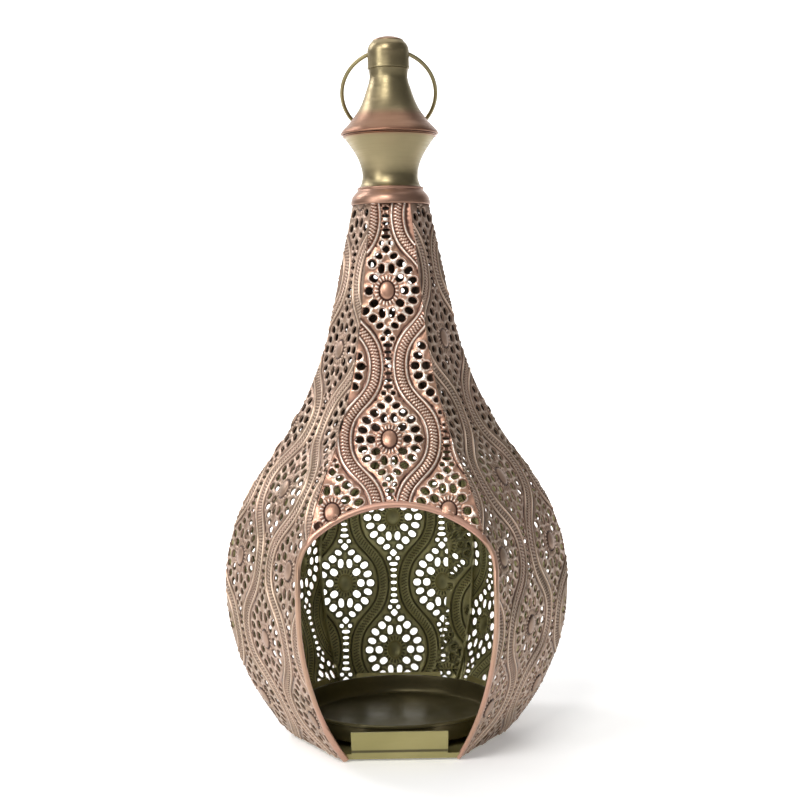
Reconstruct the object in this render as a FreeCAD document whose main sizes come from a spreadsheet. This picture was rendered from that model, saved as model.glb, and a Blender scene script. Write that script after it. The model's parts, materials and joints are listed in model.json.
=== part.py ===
import FreeCAD, Part
import math
import os
import Sketcher

# Moroccan hanging lantern: six bent, pierced sheet panels round a candle chamber, with an arched doorway in
# front, a flanged base plate and candle dish below, a spun finial on a tie rod above and a swinging wire ring.
# Millimetres, +Z up.  The origin is on the ground under the middle of the lantern; the doorway faces -Y.

DIMENSIONS = {
    # hexagonal body: half the distance across its flat faces, at the foot, the belly and the neck
    "foot_apothem": 53.2,
    "belly_apothem": 84.9,
    "neck_apothem": 18.9,
    "belly_height": 88.0,
    "panel_foot": 1.2,
    "panel_top": 303.0,
    "upper_radius": 123.7,
    "throat_radius": 211.0,
    "neck_straight": 64.8,
    "sheet": 0.8,
    "seam_flange": 3.2,
    "flange_foot": 7.0,
    "lap_width": 16.0,
    "lap_foot": 20.0,
    "lap_top": 190.0,
    # arched doorway and the folded edging round it
    "door_reach": 3.3,
    "door_foot_margin": 1.1,
    "door_side_top": 107.5,
    "door_shoulder": 25.5,
    "door_crown": 67.5,
    "bead_proud": 0.9,
    "bead_depth": 1.9,
    "bead_cover": 1.9,
    "bead_reveal": 1.7,
    # base
    "hoop_foot": 0.8,
    "hoop_thickness": 1.2,
    "plate_foot": 3.9,
    "plate_thickness": 1.0,
    "flap_margin": 4.7,
    "flap_top": 19.6,
    "foot_radius": 4.0,
    "foot_flat": 2.6,
    "foot_inset": 8.2,
    # candle dish
    "dish_clearance": 2.5,
    "dish_rim": 20.4,
    "dish_floor": 9.6,
    "dish_wall": 0.9,
    "dish_draft": 1.6,
    "dish_bead": 1.1,
    "dish_foot_radius": 41.0,
    # finial, spun from sheet
    "spun_wall": 1.0,
    "collar_overhang": 0.2,
    "collar_height": 9.9,
    "collar_top": 18.2,
    "waist_radius": 15.6,
    "waist_height": 7.6,
    "cup_height": 39.4,
    "rim_overhang": 1.7,
    "bell_rim": 27.4,
    "rim_lip": 1.4,
    "bell_height": 36.5,
    "bell_neck_height": 7.0,
    "bell_knee_radius": 16.8,
    "bell_knee_height": 13.9,
    "cap_radius": 11.8,
    "cap_drop": 1.2,
    "cap_height": 18.1,
    "cap_crown": 2.4,
    "cap_shoulder": 4.6,
    "cap_brow": 0.75,
    # tie rod, nuts and washer
    "rod_radius": 2.0,
    "rod_clearance": 0.15,
    "rod_tail": 4.0,
    "nut_across": 7.0,
    "nut_height": 3.0,
    "washer_radius": 5.0,
    "washer_thickness": 0.8,
    "neck_plate_drop": 4.0,
    "neck_plate_thickness": 1.5,
    # hanging ring
    "ring_radius": 26.7,
    "ring_wire": 1.0,
    "ring_play": 0.9,
    "ring_clearance": 1.0,
    "swing_clearance": 0.5,
}

# Values that follow from the driving dimensions.  Each is the name and the expression that gives it.
DERIVED = (
    ("body_width", "4 * Dims.belly_apothem"),
    ("lower_radius", "((Dims.belly_apothem - Dims.foot_apothem)^2 + Dims.belly_height^2)"
                     " / (2 * (Dims.belly_apothem - Dims.foot_apothem))"),
    # belly arc, throat arc and straight neck, each tangent to the next: the throat's centre lies at known
    # distances from the belly arc's centre and from the top of the neck
    ("lower_centre", "Dims.belly_apothem - Curves.lower_radius"),
    ("upper_centre", "Dims.belly_apothem - Dims.upper_radius"),
    ("both_radii", "Dims.upper_radius + Dims.throat_radius"),
    ("neck_out", "Dims.neck_apothem - Curves.upper_centre"),
    ("neck_rise", "Dims.panel_top - Dims.belly_height"),
    ("neck_reach", "sqrt(Curves.neck_out^2 + Curves.neck_rise^2)"),
    ("throat_turn", "acos((Curves.both_radii^2 + Curves.neck_reach^2 - Dims.throat_radius^2"
                    " - Dims.neck_straight^2) / (2 * Curves.both_radii * Curves.neck_reach))"),
    ("shoulder_angle", "atan(Curves.neck_rise / Curves.neck_out) - Curves.throat_turn"),
    ("throat_centre", "Curves.upper_centre + Curves.both_radii * cos(Curves.shoulder_angle)"),
    ("throat_level", "Dims.belly_height + Curves.both_radii * sin(Curves.shoulder_angle)"),
    ("neck_angle", "atan((Curves.throat_level - Dims.panel_top) / (Curves.throat_centre - Dims.neck_apothem))"
                   " + atan(Dims.neck_straight / Dims.throat_radius)"),
    # base: the flaps, the dish that sits between them and the feet under the plate
    ("flap_width", "2 * (Dims.foot_apothem * tan(30) - Dims.flap_margin)"),
    ("dish_radius", "Curves.lower_centre - Dims.dish_clearance"
                    " + sqrt((Curves.lower_radius - 2 * Dims.sheet)^2 - (Dims.belly_height - Dims.dish_floor)^2)"),
    ("foot_circle", "Dims.foot_apothem - Dims.foot_inset"),
    # doorway: crown, shoulder and side arcs that meet tangentially
    ("door_half", "Dims.belly_apothem * tan(30) + Dims.door_reach"),
    ("door_foot_half", "Dims.foot_apothem * tan(30) + Dims.door_foot_margin"),
    ("door_side", "((Curves.door_half - Curves.door_foot_half)^2 + Dims.belly_height^2)"
                  " / (2 * (Curves.door_half - Curves.door_foot_half))"),
    ("crown_reach", "Dims.door_crown - Dims.door_shoulder"),
    ("shoulder_out", "Curves.door_half - Dims.door_shoulder"),
    ("crown_rise", "sqrt(Curves.crown_reach^2 - Curves.shoulder_out^2)"),
    ("crown_level", "Dims.door_side_top - Curves.crown_rise"),
    # finial: radii that fit the piece below or above, and levels from the top of the panels upwards
    ("cup_top", "Dims.bell_rim - Dims.rim_overhang"),
    ("bell_neck", "Dims.cap_radius - Dims.spun_wall"),
    ("hinge_offset", "sqrt(Dims.ring_radius^2 - (Dims.cap_radius - Dims.spun_wall / 2)^2)"),
    ("collar_radius", "Dims.neck_apothem / cos(30) + Dims.collar_overhang"),
    ("collar_level", "Dims.panel_top + Dims.collar_height"),
    ("rim_level", "Dims.panel_top + Dims.cup_height"),
    ("web_level", "Curves.rim_level + Dims.rim_lip + Dims.bell_height"),
    ("hinge_level", "Curves.web_level + Dims.nut_height + Dims.swing_clearance"
                    " + Dims.ring_radius - Curves.hinge_offset + Dims.ring_wire"),
    ("cap_foot", "Curves.web_level - Dims.cap_drop"),
    ("cap_top", "Curves.cap_foot + Dims.cap_height"),
    ("rim_drop", "Curves.hinge_level - Curves.rim_level"),
    ("rim_reach", "sqrt(Curves.rim_drop^2 + Dims.bell_rim^2)"),
    ("ring_tilt", "atan(Dims.bell_rim / Curves.rim_drop)"
                  " + asin((Dims.ring_wire + Dims.ring_clearance) / Curves.rim_reach)"),
    ("neck_plate_level", "Dims.panel_top - Dims.neck_plate_drop"),
)

ANGLES = ("throat_turn", "shoulder_angle", "neck_angle", "ring_tilt")
WHOLE_TURN = 360
PANEL_TURNS = {
    "front_panel": 0,
    "front_right_panel": 60,
    "back_right_panel": 120,
    "back_panel": 180,
    "back_left_panel": 240,
    "front_left_panel": 300,
}
FOOT_TURNS = {"foot_front_right": 29, "foot_back_right": 149, "foot_left": 269}
UP = FreeCAD.Vector(0, 0, 1)
ORIGIN = FreeCAD.Vector(0, 0, 0)

doc = FreeCAD.newDocument("lantern")
sheet = doc.addObject("Spreadsheet::Sheet", "Dims")
for row, (alias, value) in enumerate(DIMENSIONS.items(), start=1):
    sheet.set(f"A{row}", alias)
    sheet.set(f"B{row}", str(value))
    sheet.setAlias(f"B{row}", alias)
doc.recompute()

curves = doc.addObject("App::VarSet", "Curves")
for name, expression in DERIVED:
    curves.addProperty("App::PropertyAngle" if name in ANGLES else "App::PropertyFloat", name)
    curves.setExpression(name, expression)
    doc.recompute()

nodes = []


def node(piece, label):
    """Give a finished sub-part its own name and put it in the list of pieces."""
    piece.Label = label
    nodes.append(piece)
    return piece


def number(expression):
    """The present value of an expression."""
    return float(sheet.evalExpression(expression))


def turned(degrees):
    """A turn about the lantern's upright axis."""
    return FreeCAD.Placement(ORIGIN, FreeCAD.Rotation(UP, degrees))


def arc_between(start, end, radius):
    """The short arc from start to end.  A positive radius bends to the left, a negative one to the right."""
    chord = end - start
    height = math.sqrt(radius * radius - (chord.Length / 2) ** 2)
    side = FreeCAD.Vector(-chord.y, chord.x, 0).normalize() * math.copysign(height, radius)
    centre = (start + end) / 2 + side
    first, last = (start, end) if radius > 0 else (end, start)
    circle = Part.Circle(centre, UP, abs(radius))
    return Part.ArcOfCircle(circle, circle.parameter(first), circle.parameter(last))


def draw(sketch, corners, bends):
    """Draw a closed outline through corners, each a pair of expressions, and tie it to the dimensions.

    bends gives the sides that are arcs: the number of the side and the signed radius as an expression.
    """
    points = [FreeCAD.Vector(number(across), number(up), 0) for across, up in corners]
    ends = []
    for side, start in enumerate(points):
        end = points[(side + 1) % len(points)]
        if side in bends:
            radius = number(bends[side])
            geometry = sketch.addGeometry(arc_between(start, end, radius), False)
            ends.append((geometry, 1, 2) if radius > 0 else (geometry, 2, 1))
        else:
            geometry = sketch.addGeometry(Part.LineSegment(start, end), False)
            ends.append((geometry, 1, 2))
    for side, (geometry, first, last) in enumerate(ends):
        following, following_first, _ = ends[(side + 1) % len(ends)]
        sketch.addConstraint(Sketcher.Constraint("Coincident", geometry, last, following, following_first))
    for side, (across, up) in enumerate(corners):
        geometry, first, _ = ends[side]
        tie(sketch, "DistanceX", geometry, first, across, f"across_{side}")
        tie(sketch, "DistanceY", geometry, first, up, f"up_{side}")
    for side, radius in bends.items():
        index = sketch.addConstraint(Sketcher.Constraint("Radius", ends[side][0], abs(number(radius))))
        sketch.renameConstraint(index, f"bend_{side}")
        sketch.setExpression(f".Constraints.bend_{side}", f"abs({radius})")


def tie(sketch, kind, geometry, point, expression, name):
    """Hold one coordinate of a point at an expression, or on the axis where the expression is 0."""
    if expression == "0":
        axis = -2 if kind == "DistanceX" else -1
        sketch.addConstraint(Sketcher.Constraint("PointOnObject", geometry, point, axis))
        return
    value = number(expression)
    index = sketch.addConstraint(Sketcher.Constraint(kind, -1, 1, geometry, point, value))
    sketch.renameConstraint(index, name)
    sketch.setExpression(f".Constraints.{name}", expression)


def upright(name):
    """A sketch on the upright plane through the axis: across is distance out, up is height.  Its normal is X."""
    sketch = doc.addObject("Sketcher::SketchObject", name)
    sketch.Placement = FreeCAD.Placement(ORIGIN, FreeCAD.Rotation(FreeCAD.Vector(1, 1, 1), 120))
    return sketch


def extruded(sketch, name, height, foot=None):
    """A solid straight up or out from a sketch, standing at foot if that is given."""
    solid = doc.addObject("Part::Extrusion", name)
    solid.Base = sketch
    solid.DirMode = "Normal"
    solid.Solid = True
    solid.setExpression("LengthFwd", height)
    if foot is not None:
        solid.setExpression("Placement.Base.z", foot)
    return solid


def boolean(kind, name, *shapes):
    """One boolean of several shapes."""
    result = doc.addObject(f"Part::{kind}", name)
    if kind == "Cut":
        result.Base, result.Tool = shapes
    else:
        result.Shapes = list(shapes)
    return result


def hexagon_body(name, inset):
    """The solid inside the six faces moved in by inset, from the panels' feet to their tops."""
    sketch = upright(f"{name}_profile")
    half = (
        (f"Curves.lower_centre + sqrt((Curves.lower_radius - ({inset}))^2"
         " - (Dims.belly_height - Dims.panel_foot)^2)", "Dims.panel_foot"),
        (f"Dims.belly_apothem - ({inset})", "Dims.belly_height"),
        (f"Curves.upper_centre + (Dims.upper_radius - ({inset})) * cos(Curves.shoulder_angle)",
         f"Dims.belly_height + (Dims.upper_radius - ({inset})) * sin(Curves.shoulder_angle)"),
        (f"Curves.throat_centre - (Dims.throat_radius + ({inset})) * cos(Curves.neck_angle)",
         f"Curves.throat_level - (Dims.throat_radius + ({inset})) * sin(Curves.neck_angle)"),
        (f"Dims.neck_apothem - ({inset}) / cos(Curves.neck_angle)", "Dims.panel_top"),
    )
    mirrored = tuple((f"-({across})", up) for across, up in reversed(half))
    radii = (f"Curves.lower_radius - ({inset})", f"Dims.upper_radius - ({inset})",
             f"-(Dims.throat_radius + ({inset}))")
    bends = dict(enumerate(radii))
    bends.update({2 * len(half) - 2 - side: radius for side, radius in enumerate(radii)})
    draw(sketch, half + mirrored, bends)
    slabs = []
    for turn in (0, 60, 120):
        slab = extruded(sketch, f"{name}_slab_{turn}", "Curves.body_width")
        slab.Symmetric = True
        slab.Placement = turned(turn)
        slabs.append(slab)
    return boolean("MultiCommon", name, *slabs)


def block(name, width, depth, height, foot, front="0"):
    """A plain block centred on the axis from side to side, from foot upwards, its front face at front."""
    solid = doc.addObject("Part::Box", name)
    solid.setExpression("Length", width)
    solid.setExpression("Width", depth)
    solid.setExpression("Height", height)
    solid.setExpression("Placement.Base.x", f"-({width}) / 2")
    solid.setExpression("Placement.Base.y", front)
    solid.setExpression("Placement.Base.z", foot)
    return solid


def wide_block(name, height, foot):
    """A block wider than the body, for cutting it level."""
    return block(name, "Curves.body_width", "Curves.body_width", height, foot, "-Curves.body_width / 2")


def wedge(name, margin):
    """The upright prism that holds the front gore, its two sides moved in by margin."""
    sketch = doc.addObject("Sketcher::SketchObject", f"{name}_plan")
    far = f"(Curves.body_width * tan(30) - ({margin}) / cos(30))"
    draw(sketch, (("0", f"-({margin}) / sin(30)" if margin != "0" else "0"), (f"-{far}", "-Curves.body_width"),
                  (far, "-Curves.body_width")), {})
    return extruded(sketch, name, "2 * Dims.panel_top")


def door_prism(name, spread):
    """The doorway's outline moved out by spread, carried from in front of the lantern to its middle."""
    sketch = doc.addObject("Sketcher::SketchObject", f"{name}_outline")
    sketch.Placement = FreeCAD.Placement(ORIGIN, FreeCAD.Rotation(FreeCAD.Vector(1, 0, 0), 90))
    lean_out = "Curves.shoulder_out / Curves.crown_reach"
    lean_up = "Curves.crown_rise / Curves.crown_reach"
    half = (
        (f"Curves.door_half - Curves.door_side + sqrt((Curves.door_side + ({spread}))^2 - Dims.belly_height^2)",
         "0"),
        (f"Curves.door_half + ({spread})", "Dims.belly_height"),
        (f"Curves.door_half + ({spread})", "Dims.door_side_top"),
        (f"(Dims.door_crown + ({spread})) * {lean_out}",
         f"Curves.crown_level + (Dims.door_crown + ({spread})) * {lean_up}"),
    )
    mirrored = tuple((f"-({across})", up) for across, up in reversed(half))
    side, shoulder = f"Curves.door_side + ({spread})", f"Dims.door_shoulder + ({spread})"
    draw(sketch, half + mirrored, {0: side, 2: shoulder, 3: f"Dims.door_crown + ({spread})", 4: shoulder,
                                   6: side})
    return extruded(sketch, name, "Curves.body_width")


def spun(label, corners, bends):
    """A piece turned round the upright axis from its half section."""
    body = doc.addObject("PartDesign::Body", label)
    doc.recompute()
    plane = next(item for item in body.Origin.OriginFeatures if item.Role == "XZ_Plane")
    sketch = body.newObject("Sketcher::SketchObject", f"{label}_section")
    sketch.AttachmentSupport = [(plane, "")]
    sketch.MapMode = "FlatFace"
    draw(sketch, corners, bends)
    turn = body.newObject("PartDesign::Revolution", f"{label}_turn")
    turn.Profile = sketch
    turn.ReferenceAxis = (sketch, ["V_Axis"])
    turn.Angle = WHOLE_TURN
    doc.recompute()
    return body


def cylinder(name, radius, height, foot):
    """A plain round bar on the axis."""
    solid = doc.addObject("Part::Cylinder", name)
    solid.setExpression("Radius", radius)
    solid.setExpression("Height", height)
    solid.setExpression("Placement.Base.z", foot)
    return solid


def nut(label, foot):
    """A hexagon nut on the tie rod."""
    prism = doc.addObject("Part::Prism", f"{label}_blank")
    prism.Polygon = 6
    prism.setExpression("Circumradius", "Dims.nut_across / 2 / cos(30)")
    prism.setExpression("Height", "Dims.nut_height")
    prism.setExpression("Placement.Base.z", foot)
    bore = cylinder(f"{label}_bore", "Dims.rod_radius", "Dims.nut_height", foot)
    return node(boolean("Cut", f"{label}_bored", prism, bore), label)


def panels():
    """The six gores.  Each has a seam flange turned in along both edges, left off at the foot."""
    inner = wedge("between_flanges", "Dims.sheet")
    foot = wide_block("flange_relief", "Dims.flange_foot", "0")
    gore = boolean("MultiCommon", "gore", outside, wedge("gore_wedge", "0"))
    blank = boolean("Cut", "gore_blank", gore, behind_flanges)
    hollow = boolean("MultiCommon", "gore_hollow", inside, boolean("MultiFuse", "gore_clear", inner, foot))
    for label, turn in PANEL_TURNS.items():
        panel = boolean("Cut", f"{label}_whole", blank, hollow)
        panel.Placement = turned(turn)
        if label.startswith("front"):
            panel = boolean("Cut", f"{label}_cut", panel, doorway)
        node(panel, label)


def seam_lap():
    """A strip of sheet lapped over the inside of the back-right seam."""
    sketch = doc.addObject("Sketcher::SketchObject", "lap_plan")
    near, far = "Dims.sheet", "(Dims.sheet + Dims.lap_width)"
    reach = "Curves.body_width"
    draw(sketch, tuple((f"{offset} * cos(30) - {run} * sin(30)", f"-{offset} * sin(30) - {run} * cos(30)")
                       for offset, run in ((near, "0"), (near, reach), (far, reach), (far, "0"))), {})
    strip = extruded(sketch, "lap_prism", "Dims.lap_top - Dims.lap_foot", "Dims.lap_foot")
    lining = boolean("Cut", "lap_lining", inside, hexagon_body("within_lap", "2 * Dims.sheet"))
    lap = boolean("MultiCommon", "lap_strip", lining, strip)
    lap.Placement = turned(PANEL_TURNS["back_panel"])
    node(lap, "seam_lap")


def edging():
    """The folded bead that grips the cut edge of the panels all round the doorway."""
    band = boolean("Cut", "edging_band", door_prism("edging_outer", "Dims.bead_cover"),
                   door_prism("edging_inner", "-Dims.bead_reveal"))
    skin = boolean("Cut", "edging_skin", hexagon_body("edging_front", "-Dims.bead_proud"),
                   hexagon_body("edging_back", "Dims.bead_depth"))
    bead = boolean("MultiCommon", "edging_bead", band, skin)
    grip = boolean("MultiFuse", "edging_grip", *[piece for piece in nodes if piece.Label.startswith("front")],
                   hoop, plate)
    node(boolean("Cut", "edging_folded", bead, grip), "arch_edging")


def bottom_hoop():
    """The strip hoop inside the panels' feet, which shows across the bottom of the doorway."""
    strip = boolean("Cut", "hoop_strip", inside, hexagon_body("within_hoop", "Dims.sheet + Dims.hoop_thickness"))
    level = wide_block("hoop_level", "Dims.plate_foot", "0")
    return node(boolean("MultiCommon", "hoop_ring", strip, level), "bottom_hoop")


def base_plate():
    """The hexagonal floor plate, with a flap bent up against each panel."""
    plate = wide_block("plate_level", "Dims.plate_thickness", "Dims.plate_foot")
    flaps = []
    for turn in (0, 60, 120):
        flap = block(f"flap_{turn}", "Curves.flap_width", "Curves.body_width",
                     "Dims.flap_top - Dims.plate_foot", "Dims.plate_foot", "-Curves.body_width / 2")
        flap_and_plate = boolean("MultiFuse", f"flap_{turn}_and_plate", flap, plate)
        flap_and_plate.Placement = turned(turn)
        flaps.append(flap_and_plate)
    raised = boolean("MultiFuse", "plate_and_flaps", *flaps)
    blank = boolean("MultiCommon", "plate_blank", inside, raised)
    above = wide_block("above_plate", "Dims.panel_top", "Dims.plate_foot + Dims.plate_thickness")
    hollow = boolean("MultiCommon", "plate_hollow", hexagon_body("within_flaps", "2 * Dims.sheet"), above)
    return node(boolean("Cut", "plate_bent", blank, hollow), "base_plate")


def candle_dish():
    """A round pan with a rolled rim and a spun foot ring that stands on the base plate."""
    wall, rim = "Dims.dish_wall", "Curves.dish_radius"
    heel = f"({rim} - Dims.dish_draft)"
    plate_top = "Dims.plate_foot + Dims.plate_thickness"
    foot_out, foot_in = "Dims.dish_foot_radius", f"(Dims.dish_foot_radius - {wall})"
    under = f"(Dims.dish_floor - {wall})"
    node(spun("dish", (
        ("0", "Dims.dish_floor"),
        (f"{heel} - {wall}", "Dims.dish_floor"),
        (f"{rim} - {wall}", f"Dims.dish_rim - 2 * {wall}"),
        (f"{rim} - {wall}", "Dims.dish_rim"),
        (f"{rim} + Dims.dish_bead", "Dims.dish_rim"),
        (f"{rim} + Dims.dish_bead", f"Dims.dish_rim - 2 * {wall}"),
        (rim, f"Dims.dish_rim - 2 * {wall}"),
        (heel, under),
        (foot_out, under),
        (foot_out, plate_top),
        (foot_in, plate_top),
        (foot_in, under),
        ("0", under),
    ), {3: "Dims.dish_bead"}), "candle_dish")


def feet():
    """Three domed studs under the base plate, each with a flat to stand on."""
    for label, turn in FOOT_TURNS.items():
        stud = spun(f"{label}_stud", (
            ("0", "0"),
            ("Dims.foot_flat", "0"),
            ("Dims.foot_radius", "Dims.foot_radius - Dims.foot_flat"),
            ("Dims.foot_radius", "Dims.plate_foot"),
            ("0", "Dims.plate_foot"),
        ), {1: "Dims.foot_radius - Dims.foot_flat"})
        stud.setExpression("Placement.Base.x", f"Curves.foot_circle * sin({turn})")
        stud.setExpression("Placement.Base.y", f"-Curves.foot_circle * cos({turn})")
        node(stud, label)


def finial():
    """Collar, cup, bell and cap, spun from sheet and stacked on the top of the panels."""
    wall = "Dims.spun_wall"
    bore = "Dims.rod_radius + Dims.rod_clearance"
    foot, collar_level, rim_level = "Dims.panel_top", "Curves.collar_level", "Curves.rim_level"
    skirt = f"{foot} + {wall}"
    node(spun("collar", (
        (f"Dims.collar_top - 3 * {wall}", collar_level),
        (f"Dims.collar_top - 3 * {wall}", f"{collar_level} - {wall}"),
        (f"Dims.collar_top - {wall}", f"{collar_level} - {wall}"),
        (f"Curves.collar_radius - {wall}", skirt),
        (f"Curves.collar_radius - 4 * {wall}", skirt),
        (f"Curves.collar_radius - 4 * {wall}", foot),
        ("Curves.collar_radius", foot),
        ("Curves.collar_radius", skirt),
        ("Dims.collar_top", collar_level),
    ), {2: "-(2 * Dims.collar_height)", 7: "2 * Dims.collar_height"}), "neck_collar")

    waist = f"{collar_level} + Dims.waist_height"
    node(spun("cup", (
        (f"Dims.collar_top - {wall}", collar_level),
        (f"Dims.collar_top", collar_level),
        ("Dims.waist_radius", waist),
        ("Curves.cup_top", rim_level),
        (f"Curves.cup_top - {wall}", rim_level),
        (f"Dims.waist_radius - {wall}", waist),
    ), {1: "-2 * Dims.waist_radius", 2: "-2 * Curves.cup_top", 4: "2 * Curves.cup_top",
        5: "2 * Dims.waist_radius"}), "finial_cup")

    knee = f"{rim_level} + Dims.bell_knee_height"
    web = "Curves.web_level"
    node(spun("bell", (
        (f"Curves.cup_top - 2 * {wall}", rim_level),
        ("Dims.bell_rim - Dims.rim_lip / 2", rim_level),
        ("Dims.bell_rim - Dims.rim_lip / 2", f"{rim_level} + Dims.rim_lip"),
        ("Dims.bell_knee_radius", knee),
        ("Curves.bell_neck", f"{web} - Dims.bell_neck_height"),
        ("Curves.bell_neck", web),
        (bore, web),
        (bore, f"{web} - {wall}"),
        (f"Curves.bell_neck - {wall}", f"{web} - {wall}"),
        (f"Curves.bell_neck - {wall}", f"{web} - Dims.bell_neck_height"),
        (f"Dims.bell_knee_radius - {wall}", knee),
    ), {1: "Dims.rim_lip / 2", 2: "-Dims.bell_rim", 3: "-2 * Dims.bell_rim", 9: "2 * Dims.bell_rim",
        10: "Dims.bell_rim"}), "finial_bell")

    crown, rise = "Curves.cap_top", "Dims.cap_crown"
    brow = f"{crown} - {rise}"
    shoulder = f"{brow} - Dims.cap_shoulder"
    outer_brow = "Dims.cap_brow * Dims.cap_radius"
    inner_brow = f"{outer_brow} - {wall} / 2"
    cap = spun("cap", (
        (f"Dims.cap_radius - {wall}", "Curves.cap_foot"),
        ("Dims.cap_radius", "Curves.cap_foot"),
        ("Dims.cap_radius", shoulder),
        (outer_brow, brow),
        ("0", crown),
        ("0", f"{crown} - {wall}"),
        (inner_brow, f"{brow} - {wall}"),
        (f"Dims.cap_radius - {wall}", shoulder),
    ), {2: "Dims.cap_radius", 3: dome(outer_brow, rise), 5: f"-{dome(inner_brow, rise)}",
        6: "-Dims.cap_radius"})
    hole = cylinder("ring_holes", "Dims.ring_wire + Dims.ring_play", "4 * Dims.cap_radius", "0")
    hole.Placement.Rotation = FreeCAD.Rotation(FreeCAD.Vector(0, 1, 0), 90)
    hole.setExpression("Placement.Base.x", "-2 * Dims.cap_radius")
    hole.setExpression("Placement.Base.z", "Curves.hinge_level")
    node(boolean("Cut", "cap_drilled", cap, hole), "finial_cap")


def dome(radius, rise):
    """The radius of a dome centred on the axis, from its width and its rise."""
    return f"((({radius})^2 + ({rise})^2) / (2 * ({rise})))"


def neck_fixings():
    """The neck plate wedged in the panels' taper, and the rod, nuts and washer that draw the finial down."""
    level = "Curves.neck_plate_level"
    bore = "Dims.rod_radius + Dims.rod_clearance"
    slice_ = wide_block("neck_plate_slab", "Dims.neck_plate_thickness", level)
    blank = boolean("MultiCommon", "neck_plate_blank", behind_flanges, slice_)
    hole = cylinder("neck_plate_bore", bore, "Dims.panel_top", "0")
    node(boolean("Cut", "neck_plate_bored", blank, hole), "neck_plate")

    washer_level = f"{level} - Dims.washer_thickness"
    disc = cylinder("washer_disc", "Dims.washer_radius", "Dims.washer_thickness", washer_level)
    node(boolean("Cut", "washer_bored", disc, hole), "rod_washer")
    nut("bottom_nut", f"{washer_level} - Dims.nut_height")
    nut("top_nut", "Curves.web_level")
    rod_foot = f"{washer_level} - Dims.nut_height - Dims.rod_tail"
    rod = cylinder("rod", "Dims.rod_radius", f"Curves.web_level + Dims.nut_height - ({rod_foot})", rod_foot)
    node(rod, "tie_rod")


def hanging_ring():
    """The wire ring through the cap, at rest hanging down behind against the flare of the bell."""
    ring = doc.addObject("Part::Torus", "ring")
    ring.setExpression("Radius1", "Dims.ring_radius")
    ring.setExpression("Radius2", "Dims.ring_wire")
    ring.Placement.Rotation = FreeCAD.Rotation(FreeCAD.Vector(1, 0, 0), WHOLE_TURN / 4)
    ring.setExpression("Placement.Rotation.Angle", "90 deg + Curves.ring_tilt")
    ring.setExpression("Placement.Base.y", "Curves.hinge_offset * sin(Curves.ring_tilt)")
    ring.setExpression("Placement.Base.z", "Curves.hinge_level - Curves.hinge_offset * cos(Curves.ring_tilt)")
    node(ring, "hanging_ring")


outside = hexagon_body("outer_faces", "0")
inside = hexagon_body("inner_faces", "Dims.sheet")
behind_flanges = hexagon_body("behind_flanges", "Dims.seam_flange")
doorway = door_prism("doorway", "0")

panels()
seam_lap()
hoop = bottom_hoop()
plate = base_plate()
edging()
candle_dish()
feet()
neck_fixings()
finial()
hanging_ring()
doc.recompute()

for item in doc.Objects:
    if "Invalid" in item.State or "Error" in item.State:
        raise RuntimeError(f"{item.Label} did not build: {item.State}")
for piece in nodes:
    if piece.Shape.isNull() or not piece.Shape.isValid():
        raise RuntimeError(f"{piece.Label} has no valid shape")

os.makedirs("parts", exist_ok=True)
for piece in nodes:
    piece.Shape.exportStep(f"parts/{piece.Label}.step")
    box = piece.Shape.BoundBox
    print(f"{piece.Label}: {len(piece.Shape.Solids)} solid, {piece.Shape.Volume:.1f} mm3,"
          f" z {box.ZMin:.2f} to {box.ZMax:.2f}")
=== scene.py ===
import bmesh
import bpy
import json
import math
import numpy as np
from mathutils import Matrix, Vector
from mathutils.geometry import delaunay_2d_cdt


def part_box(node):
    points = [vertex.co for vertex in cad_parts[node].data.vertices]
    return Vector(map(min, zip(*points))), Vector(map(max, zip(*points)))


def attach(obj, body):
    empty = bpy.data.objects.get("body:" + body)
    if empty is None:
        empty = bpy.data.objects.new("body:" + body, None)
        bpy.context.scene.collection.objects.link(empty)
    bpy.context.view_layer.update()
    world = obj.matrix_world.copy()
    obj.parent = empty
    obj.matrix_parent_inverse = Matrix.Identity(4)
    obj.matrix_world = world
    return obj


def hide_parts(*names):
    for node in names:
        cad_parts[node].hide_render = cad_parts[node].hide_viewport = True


# A hanging lantern: six embossed and pierced gores round a candle chamber, an edged arch in front, a
# dish on a flanged base, a spun finial and a wire ring.  Shapes are worked out in millimetres and built
# in metres.

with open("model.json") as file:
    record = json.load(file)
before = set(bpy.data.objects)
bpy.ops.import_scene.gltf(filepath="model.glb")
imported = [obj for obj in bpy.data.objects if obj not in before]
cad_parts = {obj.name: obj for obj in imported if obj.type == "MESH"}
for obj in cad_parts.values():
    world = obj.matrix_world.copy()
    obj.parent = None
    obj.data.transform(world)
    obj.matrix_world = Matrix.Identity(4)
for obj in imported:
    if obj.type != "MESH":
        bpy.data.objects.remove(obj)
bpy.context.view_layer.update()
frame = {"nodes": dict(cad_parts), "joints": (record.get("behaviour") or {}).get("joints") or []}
MM = 0.001
noise_rng = np.random.default_rng(7)


def box_mm(node):
    """Lowest and highest corners of a CAD node in millimetres."""
    low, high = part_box(node)
    return np.array(low) / MM, np.array(high) / MM


# --- the gore's profile: distance out and height along the bent sheet ---

BACK_LOW, BACK_HIGH = box_mm("back_panel")
BELLY_APOTHEM = BACK_HIGH[1]
SHEET_FOOT, SHEET_TOP = BACK_LOW[2], BACK_HIGH[2]
BELLY_HEIGHT = 88.0
LOWER_RADIUS = 138.0
UPPER_RADIUS = 123.7
THROAT_RADIUS = 211.0
SHOULDER_ANGLE = math.radians(34.2)
NECK_ANGLE = math.radians(10.3)
SHEET = 0.64
SEAM_DEPTH = 3.2
SEAM_GAP = 0.12
HALF_GORE = math.tan(math.radians(30))
LAP_LOW, LAP_HIGH = box_mm("seam_lap")
LAP_WIDTH, LAP_INSET, LAP_DEPTH = 16.0, 0.8, 2.2
NO_DOOR = -1e3


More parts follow.
